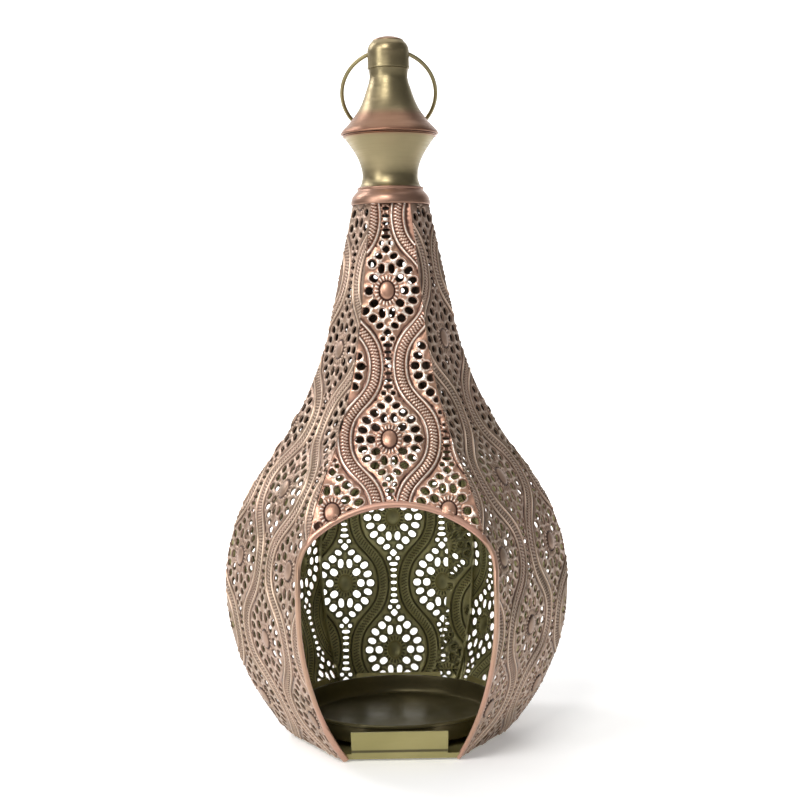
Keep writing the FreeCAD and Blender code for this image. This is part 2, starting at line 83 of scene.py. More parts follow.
def profile_out(height):
    """Distance of a flat face from the axis at each height: belly, shoulder, throat and straight neck."""
    height = np.asarray(height, float)
    upper_centre = BELLY_APOTHEM - UPPER_RADIUS
    shoulder = BELLY_HEIGHT + UPPER_RADIUS * math.sin(SHOULDER_ANGLE)
    throat_level = shoulder + THROAT_RADIUS * math.sin(SHOULDER_ANGLE)
    throat_out = upper_centre + (UPPER_RADIUS + THROAT_RADIUS) * math.cos(SHOULDER_ANGLE)
    neck = throat_level - THROAT_RADIUS * math.sin(NECK_ANGLE)
    neck_out = throat_out - THROAT_RADIUS * math.cos(NECK_ANGLE)
    fall = height - BELLY_HEIGHT
    lower = BELLY_APOTHEM - LOWER_RADIUS + np.sqrt(np.maximum(LOWER_RADIUS**2 - fall**2, 0))
    upper = upper_centre + np.sqrt(np.maximum(UPPER_RADIUS**2 - fall**2, 0))
    throat = throat_out - np.sqrt(np.maximum(THROAT_RADIUS**2 - (throat_level - height) ** 2, 0))
    straight = neck_out - (height - neck) * math.tan(NECK_ANGLE)
    spans = [height < BELLY_HEIGHT, height < shoulder, height < neck]
    return np.select(spans, [lower, upper, throat], straight)


HEIGHTS = np.linspace(SHEET_FOOT, SHEET_TOP, 3000)
OUTS = profile_out(HEIGHTS)
LENGTHS = np.concatenate([[0], np.cumsum(np.hypot(np.diff(HEIGHTS), np.diff(OUTS)))])
SHEET_LENGTH = LENGTHS[-1]


def along(height):
    """Distance along the sheet from its foot to a height."""
    return np.interp(height, HEIGHTS, LENGTHS)


def height_at(length):
    """Height of a point that far along the sheet."""
    return np.interp(length, LENGTHS, HEIGHTS)


def out_at(length):
    """Distance of that point from the axis, across the flat face."""
    return np.interp(length, LENGTHS, OUTS)


def edge_at(length):
    """Half the gore's width at that point."""
    return out_at(length) * HALF_GORE - SEAM_GAP


# --- the doorway's outline, as seen from in front ---

DOOR_REACH = 3.3
DOOR_FOOT_HALF = 31.8
DOOR_SIDE_TOP = 107.5
DOOR_SHOULDER = 25.5
DOOR_CROWN = 67.5
DOOR_HALF = BELLY_APOTHEM * HALF_GORE + DOOR_REACH
DOOR_SIDE = ((DOOR_HALF - DOOR_FOOT_HALF) ** 2 + BELLY_HEIGHT**2) / (2 * (DOOR_HALF - DOOR_FOOT_HALF))
CROWN_LEVEL = DOOR_SIDE_TOP - math.sqrt((DOOR_CROWN - DOOR_SHOULDER) ** 2 - (DOOR_HALF - DOOR_SHOULDER) ** 2)
DOOR_TOP = CROWN_LEVEL + DOOR_CROWN
CROWN_TURN = math.atan2(DOOR_SIDE_TOP - CROWN_LEVEL, DOOR_HALF - DOOR_SHOULDER)


def door_outline(step=0.8):
    """Points (across, up) of the doorway's right half, from the foot to the crown."""
    points = []
    foot_turn = math.asin((BELLY_HEIGHT - SHEET_FOOT) / DOOR_SIDE)
    for turn in np.arange(-foot_turn, 0, step / DOOR_SIDE):
        points.append((DOOR_HALF - DOOR_SIDE + DOOR_SIDE * math.cos(turn),
                       BELLY_HEIGHT + DOOR_SIDE * math.sin(turn)))
    for level in np.arange(BELLY_HEIGHT, DOOR_SIDE_TOP, step):
        points.append((DOOR_HALF, level))
    for turn in np.arange(0, CROWN_TURN, step / DOOR_SHOULDER):
        points.append((DOOR_HALF - DOOR_SHOULDER + DOOR_SHOULDER * math.cos(turn),
                       DOOR_SIDE_TOP + DOOR_SHOULDER * math.sin(turn)))
    for turn in np.arange(CROWN_TURN, math.pi / 2, step / DOOR_CROWN):
        points.append((DOOR_CROWN * math.cos(turn), CROWN_LEVEL + DOOR_CROWN * math.sin(turn)))
    points.append((0.0, DOOR_TOP))
    return np.array(points)


DOOR = door_outline()
LEAN, LEAN_TOP, LEAN_CURVE = 3.0, 75.0, 1.5


def left_lean(height):
    """How far the doorway's left edge stands in from where the right one would have it, towards the foot."""
    return LEAN * np.clip((LEAN_TOP - height) / LEAN_TOP, 0, 1) ** LEAN_CURVE


def door_half_at(height):
    """Half the doorway's width at a height, and less than nothing above its crown."""
    return np.interp(height, DOOR[:, 1], DOOR[:, 0], right=-1.0)


def door_level_at(across):
    """Height of the doorway's crown over a point across the front face."""
    rising = DOOR[:, 1] > DOOR_SIDE_TOP
    return np.interp(np.abs(across), DOOR[rising][::-1, 0], DOOR[rising][::-1, 1])


# --- the pierced and embossed pattern, in the flat sheet (across, along) ---

PERIOD = 84.0
COLUMN = 30.5
RIBBON_SWING = 8.75
RIBBON_STEEP = 1.0
RIB_PITCH = 1.9
RIB_SKEW = 0.45
RIDGE_AT, RIDGE_WIDTH, RIDGE_HEIGHT = 3.35, 0.56, 0.72
CHANNEL_OUT, CHANNEL_WIDTH, CHANNEL_DEPTH = 1.1, 0.45, 0.3
GROOVE_IN, GROOVE_WIDTH = 0.95, 0.35
BAND_HALF, BAND_EDGE, RIB_HEIGHT = 2.45, 0.4, 0.55
RIBBON_LANES = (-4.7, -4.05, -3.65, -3.3, -2.9, -2.4, -1.2, 0, 1.2, 2.4, 2.9, 3.3, 3.65, 4.05, 4.7)
BOSS_HALF = (4.3, 5.4)
BOSS_HEIGHT = 1.7
PETALS = 20
PETAL_START, PETAL_REACH = 1.02, 1.62
PETAL_EDGE, PETAL_FLOOR, PETAL_HEIGHT = 0.12, 0.12, 0.5
BOSS_RINGS = (0.3, 0.55, 0.75, 0.88, 0.96, 1.02, 1.15, 1.34, 1.52, 1.64)
RIM_HEIGHT = 0.42
RIM_OUT = 0.62

# how much the holes are drawn in: those seen through the doorway, those above it, and the outer panels'
BACK_EASE, TIGHT_EASE, FRONT_EASE = 1.0, 0.64, 0.97
TIGHT_ABOVE = 135.0
EDGE_MARGIN = 0.9
FOOT_MARGIN = 1.53
LEAST_LEFT = 0.45

# least distance between the mesh's points: along rims, ribbons and bosses, and in the plain net
SIEVE_CELL = 0.42
RIM_SPACING, RIBBON_SPACING, BOSS_SPACING, NET_SPACING = 0.36, 0.33, 0.28, 0.85
FINE_MARGIN, NET_MARGIN = 0.5, 0.7
NET_STEP, NET_HALF = 1.45, 50.0
RIBBONS = range(-4, 4)
CELL_COLUMNS, CELL_ROWS = range(-4, 5), range(-3, 6)

# one quarter of a cell's holes: across, along, width, length, turn in degrees, squareness
CELL_HOLES = (
    (9.8, 0.0, 4.4, 4.6, 0, 2.2), (7.1, 6.9, 4.9, 4.1, 38, 2.4), (2.75, 12.4, 3.3, 5.6, 4, 2.4),
    (15.8, 0.0, 4.6, 4.2, 0, 2.4), (14.1, 5.6, 5.0, 3.7, 22, 2.2), (12.0, 11.2, 5.0, 3.8, 38, 2.2),
    (7.8, 15.3, 4.6, 4.2, 48, 2.6), (4.1, 19.4, 4.2, 3.1, 28, 2.2), (0.0, 23.2, 4.2, 4.4, 0, 1.25),
    (2.6, 26.7, 2.6, 2.6, 45, 1.6), (0.0, 30.3, 4.9, 2.2, 0, 2.6), (0.0, 34.1, 3.7, 1.8, 0, 3.2),
    (0.0, 37.8, 3.5, 1.8, 0, 3.2),
)
NECK_SLOT = (0.0, PERIOD / 2, 3.5, 1.8, 0, 3.2)


def swing(length, phase):
    """Sideways place of a ribbon relative to its mean, for cells centred at phase."""
    wave = np.cos(2 * math.pi * (length - phase) / PERIOD)
    return RIBBON_SWING * np.tanh(RIBBON_STEEP * wave) / math.tanh(RIBBON_STEEP)


def ribbon_centre(index, length, phase):
    """Sideways place of the ribbon on the right of a column."""
    side = -1 if index % 2 else 1
    return (index + 0.5) * COLUMN + side * swing(length, phase)


class Ribbon:
    """One ribbon down the sheet, with its path sampled finely enough to measure along it."""

    def __init__(self, index, phase, shift):
        self.length = np.arange(-6, SHEET_LENGTH + 6, 0.25)
        self.across = ribbon_centre(index, self.length, phase) + shift
        self.slope = np.gradient(self.across, self.length)
        self.stretch = np.sqrt(1 + self.slope**2)
        steps = np.diff(self.length) * (self.stretch[1:] + self.stretch[:-1]) / 2
        self.run = np.concatenate([[0], np.cumsum(steps)])

    def offset(self, across, length):
        """Distance across the ribbon, and how far along it, for points of the sheet."""
        centre = np.interp(length, self.length, self.across)
        stretch = np.interp(length, self.length, self.stretch)
        slope = np.interp(length, self.length, self.slope)
        sideways = (across - centre) / stretch
        foot = length + sideways * slope / stretch
        return sideways, np.interp(foot, self.length, self.run)

    def rows(self):
        """Points in rows straight across the ribbon, close enough to carry its ridges and ribs."""
        lanes = np.array(RIBBON_LANES)[None, :]
        runs = np.arange(0, self.run[-1], RIB_PITCH / 4)[:, None] - RIB_SKEW * lanes
        length = np.interp(runs, self.run, self.length)
        across = np.interp(runs, self.run, self.across)
        slope = np.interp(runs, self.run, self.slope)
        turn = np.sqrt(1 + slope**2)
        x = across + lanes / turn
        y = length - lanes * slope / turn
        return np.column_stack([x.ravel(), y.ravel()])


def hole_outline(hole, ease, points=12):
    """A rounded hole's outline about its own centre."""
    _, _, width, length, turn, square = hole
    width, length = width * ease, length * ease
    start = 0 if square < 1.5 else math.pi / points
    angles = np.arange(points) * 2 * math.pi / points + start
    cosine, sine = np.cos(angles), np.sin(angles)
    x = np.sign(cosine) * np.abs(cosine) ** (2 / square) * width / 2
    y = np.sign(sine) * np.abs(sine) ** (2 / square) * length / 2
    cosine, sine = math.cos(math.radians(turn)), math.sin(math.radians(turn))
    return np.column_stack([x * cosine - y * sine, x * sine + y * cosine])


def cell_holes(ease):
    """Every hole of one cell: its centre and its outline, mirrored from the quarter."""
    holes = []
    for hole in CELL_HOLES + (NECK_SLOT,):
        outline = hole_outline(hole, ease)
        for flip_x in ((1, -1) if hole[0] else (1,)):
            for flip_y in ((1, -1) if hole[1] and hole is not NECK_SLOT else (1,)):
                holes.append((np.array([hole[0] * flip_x, hole[1] * flip_y]), outline * (flip_x, flip_y)))
    return holes


def cell_centres(phase, shift):
    """Centres of the cells, column by column, each column half a period on from the last."""
    centres = []
    for column in CELL_COLUMNS:
        start = phase + (PERIOD / 2 if column % 2 else 0)
        for row in CELL_ROWS:
            centre = start + row * PERIOD
            if -PERIOD / 2 < centre < SHEET_LENGTH + PERIOD / 2:
                centres.append((column * COLUMN + shift, centre))
    return centres


class Region:
    """The part of the sheet that a panel keeps: left and right edges by length, and a lower edge by place."""

    def __init__(self, kind, phase, shift=0.0):
        self.kind = kind
        self.backing = kind in ("whole", "lap")
        self.phase = phase
        self.shift = shift
        self.foot = 0.0
        self.top = SHEET_LENGTH
        if kind == "front":
            meets = HEIGHTS[np.argmax((door_half_at(HEIGHTS) < profile_out(HEIGHTS) * HALF_GORE)
                                      & (HEIGHTS > BELLY_HEIGHT))]
            self.foot = float(along(meets))
        if kind == "lap":
            self.foot, self.top = float(along(LAP_LOW[2])), float(along(LAP_HIGH[2]))

    def sides(self, length):
        """Left and right edge at a distance along the sheet."""
        edge = edge_at(length)
        left, right = -edge, edge
        if self.kind == "lap":
            return left + LAP_INSET, left + LAP_INSET + LAP_WIDTH
        if self.kind in ("front_right", "front_left"):
            height = height_at(length)
            door = door_half_at(height)
            cut = 2 * door - out_at(length) * math.sqrt(3)
            cut = np.where(door > 0, cut, NO_DOOR)
            if self.kind == "front_right":
                left = np.maximum(left, cut)
            else:
                right = np.minimum(right, 2 * left_lean(height) - cut)
        return left, right

    def lower(self, across):
        """Lowest point kept at a place across the sheet."""
        if self.kind != "front":
            return np.full_like(across, self.foot)
        return along(door_level_at(across))

    def outline(self, step=0.9):
        """The edge of the region as a closed run of points."""
        lengths = np.append(np.arange(self.foot, self.top - step / 2, step), self.top)
        left, right = self.sides(lengths)
        top = np.arange(right[-1] - step, left[-1], -step)
        up = np.column_stack([right, lengths])
        over = np.column_stack([top, np.full_like(top, self.top)])
        down = np.column_stack([left, lengths])[::-1]
        across = np.arange(left[0] + step, right[0] - step / 2, step)
        under = np.column_stack([across, self.lower(across)])
        return np.vstack([up, over, down, under])

    def inside(self, points, margin):
        """Which points lie inside by at least a margin."""
        left, right = self.sides(points[:, 1])
        lower = self.lower(points[:, 0])
        return ((points[:, 0] > left + margin) & (points[:, 0] < right - margin)
                & (points[:, 1] > lower + margin) & (points[:, 1] < self.top - margin))

    def clipped(self, outline):
        """A hole's outline pulled in from the region's edges, or None where too little of it is left."""
        span = np.ptp(outline, axis=0)
        left, right = self.sides(outline[:, 1])
        x = np.clip(outline[:, 0], left + EDGE_MARGIN, right - EDGE_MARGIN)
        y = np.clip(outline[:, 1], self.lower(x) + FOOT_MARGIN, self.top - EDGE_MARGIN)
        kept = np.column_stack([x, y])
        if np.any(left + 2 * EDGE_MARGIN > right) or np.any(np.ptp(kept, axis=0) < LEAST_LEFT * span):
            return None
        return kept


class Sieve:
    """Keeps points that are not too close to those already kept."""

    def __init__(self, spacing):
        self.spacing = spacing
        self.cells = {}

    def add(self, points, always=False, spacing=None):
        """Which of the points to keep."""
        gap = spacing or self.spacing
        keep = np.zeros(len(points), bool)
        reach = int(math.ceil(gap / self.spacing))
        for number, (x, y) in enumerate(points):
            column, row = int(math.floor(x / self.spacing)), int(math.floor(y / self.spacing))
            if not always and self.near(x, y, column, row, reach, gap * gap):
                continue
            keep[number] = True
            self.cells.setdefault((column, row), []).append((x, y))
        return keep

    def near(self, x, y, column, row, reach, gap):
        """Whether a kept point lies within the gap."""
        for i in range(column - reach, column + reach + 1):
            for j in range(row - reach, row + reach + 1):
                for other in self.cells.get((i, j), ()):
                    if (other[0] - x) ** 2 + (other[1] - y) ** 2 < gap:
                        return True
        return False


def tidy_loop(loop, least=0.12):
    """A closed outline without points that fall on each other."""
    kept = [loop[0]]
    for point in loop[1:]:
        if np.hypot(*(point - kept[-1])) > least:
            kept.append(point)
    while len(kept) > 3 and np.hypot(*(kept[0] - kept[-1])) <= least:
        kept.pop()
    return np.array(kept)


def grown(loop, reach):
    """A closed outline moved outward from its middle."""
    outward = loop - loop.mean(axis=0)
    return loop + outward / np.linalg.norm(outward, axis=1)[:, None] * reach


class Mask:
    """A fine map of where the holes are, grown a little, for leaving loose points out of them."""

    def __init__(self, loops, spacing=0.12, grow=0.14, half=60.0, beyond=5.0):
        self.spacing = spacing
        self.low = np.array([-half, -beyond])
        size = (2 * half, SHEET_LENGTH + 2 * beyond)
        self.cells = np.zeros((int(size[0] / spacing), int(size[1] / spacing)), bool)
        for loop in loops:
            loop = grown(loop, grow)
            low = np.floor((loop.min(axis=0) - self.low) / spacing).astype(int)
            high = np.ceil((loop.max(axis=0) - self.low) / spacing).astype(int) + 1
            columns, rows = np.meshgrid(np.arange(low[0], high[0]), np.arange(low[1], high[1]), indexing="ij")
            x = self.low[0] + (columns + 0.5) * spacing
            y = self.low[1] + (rows + 0.5) * spacing
            within = np.zeros(x.shape, bool)
            for (ax, ay), (bx, by) in zip(loop, np.roll(loop, -1, axis=0)):
                if ay != by:
                    crosses = (ay > y) != (by > y)
                    within ^= crosses & (x < ax + (y - ay) * (bx - ax) / (by - ay))
            self.cells[low[0]:high[0], low[1]:high[1]] |= within

    def clear(self, points):
        """Which points lie outside every hole."""
        index = ((points - self.low) / self.spacing).astype(int)
        return ~self.cells[index[:, 0], index[:, 1]]


def swell(distance, middle, width):
    """A smooth rise to one, round a middle."""
    return np.exp(-((distance - middle) / width) ** 2)


def relief(points, ribbons, centres):
    """Height of the embossing over the flat sheet, and a mask for how much of the finish is rubbed off there
    that also carries painted highlight on raised parts and painted shade in hollows.
    """
    x, y = points[:, 0], points[:, 1]
    height = np.zeros(len(points))
    wear_and_painted_light = np.zeros(len(points))
    for ribbon in ribbons:
        sideways, run = ribbon.offset(x, y)
        distance = np.abs(sideways)
        ridge = swell(distance, RIDGE_AT, RIDGE_WIDTH)
        channel = swell(distance, RIDGE_AT + CHANNEL_OUT, CHANNEL_WIDTH)
        groove = swell(distance, RIDGE_AT - GROOVE_IN, GROOVE_WIDTH)
        ribs = np.cos(2 * math.pi * (run + RIB_SKEW * sideways) / RIB_PITCH)
        band = np.clip((BAND_HALF - distance) / BAND_EDGE, 0, 1)
        height += RIDGE_HEIGHT * ridge - CHANNEL_DEPTH * (channel + groove)
        height += RIB_HEIGHT * (0.5 + 0.5 * ribs) * band
        # painted highlight on the ridges and rib crests, painted shade in the channels and grooves beside
        # them
        wear_and_painted_light += ridge - 0.75 * channel - 0.5 * groove + (0.1 + 0.9 * ribs) * band
    for across, length in centres:
        u, v = (x - across) / BOSS_HALF[0], (y - length) / BOSS_HALF[1]
        radius = np.hypot(u, v)
        dome = BOSS_HEIGHT * np.sqrt(np.clip(1 - radius**2, 0, 1)) ** 0.8
        petals = 0.5 + 0.5 * np.cos(PETALS * np.arctan2(v, u))
        window = (np.clip((radius - PETAL_START) / PETAL_EDGE, 0, 1)
                  * np.clip((PETAL_REACH - radius) / PETAL_EDGE, 0, 1))
        height += dome + window * (PETAL_FLOOR + PETAL_HEIGHT * petals)
        # painted highlight on the petals, painted shade between them and round the foot of the dome
        wear_and_painted_light += window * (1.3 * petals - 0.45)
        wear_and_painted_light += 0.35 * np.clip(1 - radius, 0, 1) - swell(radius, 1.0, 0.1)
    return height, wear_and_painted_light


def boss_points(centre):
    """Points in rings round a boss, two to each petal and each gap."""
    points = [centre]
    for size in BOSS_RINGS:
        count = PETALS * 4 if size > 1 else 24 if size > 0.5 else 10
        for step in range(count):
            angle = 2 * math.pi * step / count
            points.append((centre[0] + size * BOSS_HALF[0] * math.cos(angle),
                           centre[1] + size * BOSS_HALF[1] * math.sin(angle)))
    return np.array(points)


def panel_holes(region, centres):
    """The outlines of a panel's holes, drawn in where they would cross its edge."""
    holes = []
    for centre in centres:
        ease = BACK_EASE if region.backing else FRONT_EASE
        if region.backing and height_at(centre[1]) > TIGHT_ABOVE:
            ease = TIGHT_EASE
        for place, shape in cell_holes(ease):
            loop = region.clipped(shape + place + centre)
            if loop is not None:
                loop = tidy_loop(loop, 0.2)
                if len(loop) > 4:
                    holes.append(loop)
    return holes


def plain_net():
    """A loose staggered grid over the sheet."""
    rows = np.arange(0, SHEET_LENGTH, NET_STEP * 0.87)
    places = np.arange(-NET_HALF, NET_HALF, NET_STEP)
    return np.array([(x + (row % 2) * NET_STEP / 2, y) for row, y in enumerate(rows) for x in places])


def flat_panel(region):
    """The panel in the flat: its points and triangles, and each point's height of embossing and its mask of
    wear, painted highlight and painted shade.
    """
    centres = cell_centres(region.phase, region.shift)
    ribbons = [Ribbon(index, region.phase, region.shift) for index in RIBBONS]
    holes = panel_holes(region, centres)
    loops = [tidy_loop(region.outline())] + holes
    mask = Mask(holes)
    sieve = Sieve(SIEVE_CELL)
    for loop in loops:
        sieve.add(loop, always=True)
    wanted = [(np.vstack([grown(loop, RIM_OUT) for loop in holes]), FINE_MARGIN, RIM_SPACING),
              (np.vstack([ribbon.rows() for ribbon in ribbons]), FINE_MARGIN, RIBBON_SPACING)]
    wanted += [(boss_points(centre), FINE_MARGIN, BOSS_SPACING) for centre in centres]
    wanted.append((plain_net(), NET_MARGIN, NET_SPACING))
    blocks = []
    for points, margin, spacing in wanted:
        points = points[region.inside(points, margin)]
        if len(points):
            points = points[mask.clear(points)]
            blocks.append(points[sieve.add(points, spacing=spacing)])
    return assemble(loops, blocks, len(blocks[0]), ribbons, centres)


def assemble(loops, blocks, rim_count, ribbons, centres):
    """Triangulate the flat panel between its outline and its holes; the first block holds the rims."""
    points = np.vstack(loops + blocks)
    edges = []
    owner = np.full(len(points), -1)
    start = 0
    for number, loop in enumerate(loops):
        count = len(loop)
        edges += [(start + step, start + (step + 1) % count) for step in range(count)]
        owner[start:start + count] = number
        start += count
    result = delaunay_2d_cdt([Vector(point) for point in points], edges, [], 1, 1e-5)
    flat = np.array([vertex[:] for vertex in result[0]])
    triangles = np.array(result[2])
    origin = np.array([origins[0] if origins else -1 for origins in result[3]])
    loop_of = np.where(origin >= 0, owner[origin], -1)
    corners = loop_of[triangles]
    in_hole = (corners[:, 0] > 0) & (corners[:, 0] == corners[:, 1]) & (corners[:, 0] == corners[:, 2])
    height, wear_and_painted_light = relief(flat, ribbons, centres)
    rim = (origin >= start) & (origin < start + rim_count)
    height[rim] += RIM_HEIGHT
    # painted highlight on the raised rims round the holes, painted shade on the holes' own edges
    wear_and_painted_light[rim] += 0.6
    wear_and_painted_light[loop_of > 0] -= 0.5
    return flat, triangles[~in_hole], height, wear_and_painted_light


def boundary_edges(triangles):
    """Edges that belong to one triangle only, each in the direction of its triangle."""
    pairs = np.vstack([triangles[:, [0, 1]], triangles[:, [1, 2]], triangles[:, [2, 0]]])
    keys = {}
    for a, b in pairs.tolist():
        keys[(a, b)] = True
    return [(a, b) for a, b in keys if (b, a) not in keys]


# --- meshes ---

FACING = {"front_panel": 0, "front_right_panel": 60, "back_right_panel": 120, "back_panel": 180,
          "back_left_panel": 240, "front_left_panel": 300}
FRONT_PHASE = 20.4
PANEL_PHASE = {"front_panel": FRONT_PHASE, "front_right_panel": 77.0, "back_right_panel": 12.0,
               "back_panel": 36.3, "back_left_panel": 52.0, "front_left_panel": 71.5}
FLANGE_FOOT, FLANGE_SET, FLANGE_STEP = 7.0, 0.45, 3.0
DENT_DEPTH, DENTS = 0.12, 5
DENT_WAVES = (17, 40)
SMOOTH_ANGLE = math.radians(42)
ON_AXIS = 1e-6
SPUN_SIDES, DISH_SIDES = 128, 160


def mesh_object(name, points, faces, wear_and_painted_light=None, slots=None, materials=()):
    """A new mesh object from points in millimetres, smooth shaded but for its sharp edges."""
    mesh = bpy.data.meshes.new(name)
    mesh.from_pydata((np.asarray(points) * MM).tolist(), [], [list(face) for face in faces])
    mesh.validate()
    for material in materials:
        mesh.materials.append(material)
    # a point mask of rubbed wear, painted highlight and painted shade for the finish
    if wear_and_painted_light is not None:
        layer = mesh.attributes.new("wear_and_painted_light", "FLOAT", "POINT")
        layer.data.foreach_set("value", np.asarray(wear_and_painted_light, dtype=np.float32))
    if slots is not None:
        mesh.polygons.foreach_set("material_index", np.asarray(slots, dtype=np.int32))
    mesh.shade_smooth()
    mesh.set_sharp_from_angle(angle=SMOOTH_ANGLE)
    piece = bpy.data.objects.new(name, mesh)
    bpy.context.scene.collection.objects.link(piece)
    return piece


def bend(flat, rise, facing):
    """Carry points of the flat sheet, and their height above it, to the gore that faces that way."""
    length = flat[:, 1]
    tangent_out = np.gradient(OUTS, LENGTHS)
    tangent_up = np.gradient(HEIGHTS, LENGTHS)
    out = out_at(length) + rise * np.interp(length, LENGTHS, tangent_up)
    up = height_at(length) - rise * np.interp(length, LENGTHS, tangent_out)
    angle = math.radians(facing)
    x = flat[:, 0] * math.cos(angle) + out * math.sin(angle)
    y = flat[:, 0] * math.sin(angle) - out * math.cos(angle)
    return np.column_stack([x, y, up])


def seam_flange(region, facing, side):
    """The strip turned in along one edge of a gore, as a closed bar of thin section."""
    foot = max(region.foot, float(along(FLANGE_FOOT)))
    lengths = np.arange(foot, SHEET_LENGTH - 0.5, FLANGE_STEP)
    left, right = region.sides(lengths)
    at_ridge = np.abs((right if side > 0 else left) - side * edge_at(lengths)) < 0.01
    if region.kind in ("front_right", "front_left") and not at_ridge.all():
        at_ridge &= height_at(lengths) > BELLY_HEIGHT
    lengths = lengths[at_ridge]
    edge = np.column_stack([side * edge_at(lengths), lengths])
    start = bend(edge, np.full(len(lengths), -FLANGE_SET), facing)
    seam = math.radians(facing + 30 * side)
    inward = np.array([-math.sin(seam), math.cos(seam), 0]) * SEAM_DEPTH
    across = np.array([-math.cos(seam), -math.sin(seam), 0]) * side * SHEET
    rings = np.stack([start, start + inward, start + inward + across, start + across], axis=1).reshape(-1, 3)
    faces = []
    for step in range(len(lengths) - 1):
        for corner in range(4):
            a, b = 4 * step + corner, 4 * step + (corner + 1) % 4
            faces.append((a, b, b + 4, a + 4))
    last = 4 * (len(lengths) - 1)
    faces += [(3, 2, 1, 0), (last, last + 1, last + 2, last + 3)]
    return rings, faces


def sheet_piece(name, region, facing, depth, flanges, materials):
    """A pierced and embossed sheet with its two faces, the walls of its holes and its seam flanges."""
    flat, triangles, rise, wear_and_painted_light = flat_panel(region)
    rise = rise + DENT_DEPTH * gentle_dents(flat)
    outer = bend(flat, rise - depth, facing)
    inner = bend(flat, rise - depth - SHEET, facing)
    count = len(flat)
    faces = [tuple(face) for face in triangles.tolist()]
    faces += [(c + count, b + count, a + count) for a, b, c in triangles.tolist()]
    walls = [(b, a, a + count, b + count) for a, b in boundary_edges(triangles)]
    slots = [0] * len(triangles) + [1] * len(triangles) + [0] * len(walls)
    faces += walls
    points = [outer, inner]
    # the inside takes the mask turned over, so painted shade lies along the backs of the ridges
    values = [wear_and_painted_light, -wear_and_painted_light]
    for side in flanges:
        rings, bars = seam_flange(region, facing, side)
        offset = sum(len(block) for block in points)
        points.append(rings)
        values.append(np.zeros(len(rings)))
        faces += [tuple(corner + offset for corner in face) for face in bars]
        slots += [1] * len(bars)
    return mesh_object(name, np.vstack(points), faces, np.concatenate(values), slots, materials)


def gentle_dents(flat):
    """Slow hand-worked unevenness of the sheet, between -1 and 1."""
    total = np.zeros(len(flat))
    for _ in range(DENTS):
        turn = noise_rng.uniform(0, math.pi)
        wave = noise_rng.uniform(*DENT_WAVES)
        shift = noise_rng.uniform(0, 6.3)
        run = flat[:, 0] * math.cos(turn) + flat[:, 1] * math.sin(turn)
        total += np.sin(run * 2 * math.pi / wave + shift)
    return total / DENTS


def swept(name, path, normals, section):
    """A bar of constant section carried along a path, its section set out from the normals."""
    path, normals = np.asarray(path), np.asarray(normals)
    tangents = np.gradient(path, axis=0)
    tangents /= np.linalg.norm(tangents, axis=1)[:, None]
    sideways = np.cross(tangents, normals)
    sideways /= np.linalg.norm(sideways, axis=1)[:, None]
    upward = np.cross(sideways, tangents)
    rings = (path[:, None, :] + sideways[:, None, :] * section[None, :, 0, None]
             + upward[:, None, :] * section[None, :, 1, None])
    size, count = len(section), len(path)
    faces = []
    for start in range(0, (count - 1) * size, size):
        for corner in range(size):
            beside = (corner + 1) % size
            faces.append((start + corner, start + beside, start + size + beside, start + size + corner))
    last = (count - 1) * size
    faces += [tuple(range(size - 1, -1, -1)), tuple(range(last, last + size))]
    return mesh_object(name, rings.reshape(-1, 3), faces)


def smoothed(values, passes):
    """Running average of a run of points, its ends held."""
    values = np.array(values, float)
    for _ in range(passes):
        values[1:-1] = (values[:-2] + 2 * values[1:-1] + values[2:]) / 4
    return values


def rounded(corners, cuts=5):
    """A smooth run through a few corners of an outline (Catmull-Rom)."""
    corners = np.array(corners, float)
    padded = np.vstack([2 * corners[0] - corners[1], corners, 2 * corners[-1] - corners[-2]])
    run = []
    for first, second, third, fourth in zip(padded, padded[1:], padded[2:], padded[3:]):
        for step in range(cuts):
            t = step / cuts
            run.append(0.5 * (2 * second + (third - first) * t
                              + (2 * first - 5 * second + 4 * third - fourth) * t**2
                              + (3 * second - first - 3 * third + fourth) * t**3))
    run.append(corners[-1])
    run = np.array(run)
    run[:, 0] = np.maximum(run[:, 0], 0)
    return run


def turned(name, section, sides=SPUN_SIDES):
    """A piece turned round the axis from an outline of (radius, height); points on the axis are shared."""
    section = np.asarray(section)
    angles = np.arange(sides) * 2 * math.pi / sides
    points, rings = [], []
    for radius, height in section:
        if radius < ON_AXIS:
            rings.append([len(points)] * sides)
            points.append((0.0, 0.0, height))
            continue
        rings.append(list(range(len(points), len(points) + sides)))
        points += [(radius * math.cos(angle), radius * math.sin(angle), height) for angle in angles]
    faces = []
    for low, high in zip(rings, rings[1:]):
        for step in range(sides):
            following = (step + 1) % sides
            face = [low[step], low[following], high[following], high[step]]
            face = [corner for place, corner in enumerate(face) if corner != face[place - 1]]
            if len(face) > 2:
                faces.append(tuple(face))
    if len(set(rings[0])) > 1:
        faces.append(tuple(reversed(rings[0])))
    if len(set(rings[-1])) > 1:
        faces.append(tuple(rings[-1]))
    return mesh_object(name, points, faces)


def drilled(piece, cutter):
    """Take the cutter's shape out of a piece and delete the cutter."""
    cut = piece.modifiers.new("cut", "BOOLEAN")
    cut.operation, cut.solver, cut.object = "DIFFERENCE", "EXACT", cutter
    bpy.context.view_layer.update()
    evaluated = piece.evaluated_get(bpy.context.evaluated_depsgraph_get())
    mesh = bpy.data.meshes.new_from_object(evaluated)
    piece.modifiers.clear()
    piece.data = mesh
    mesh.name = piece.name
    mesh.shade_smooth()
    mesh.set_sharp_from_angle(angle=SMOOTH_ANGLE)
    bpy.data.objects.remove(cutter)


def facing_out(piece):
    """Turn a closed piece's faces outward."""
    work = bmesh.new()
    work.from_mesh(piece.data)
    bmesh.ops.recalc_face_normals(work, faces=work.faces)
    work.to_mesh(piece.data)
    work.free()


# --- materials ---


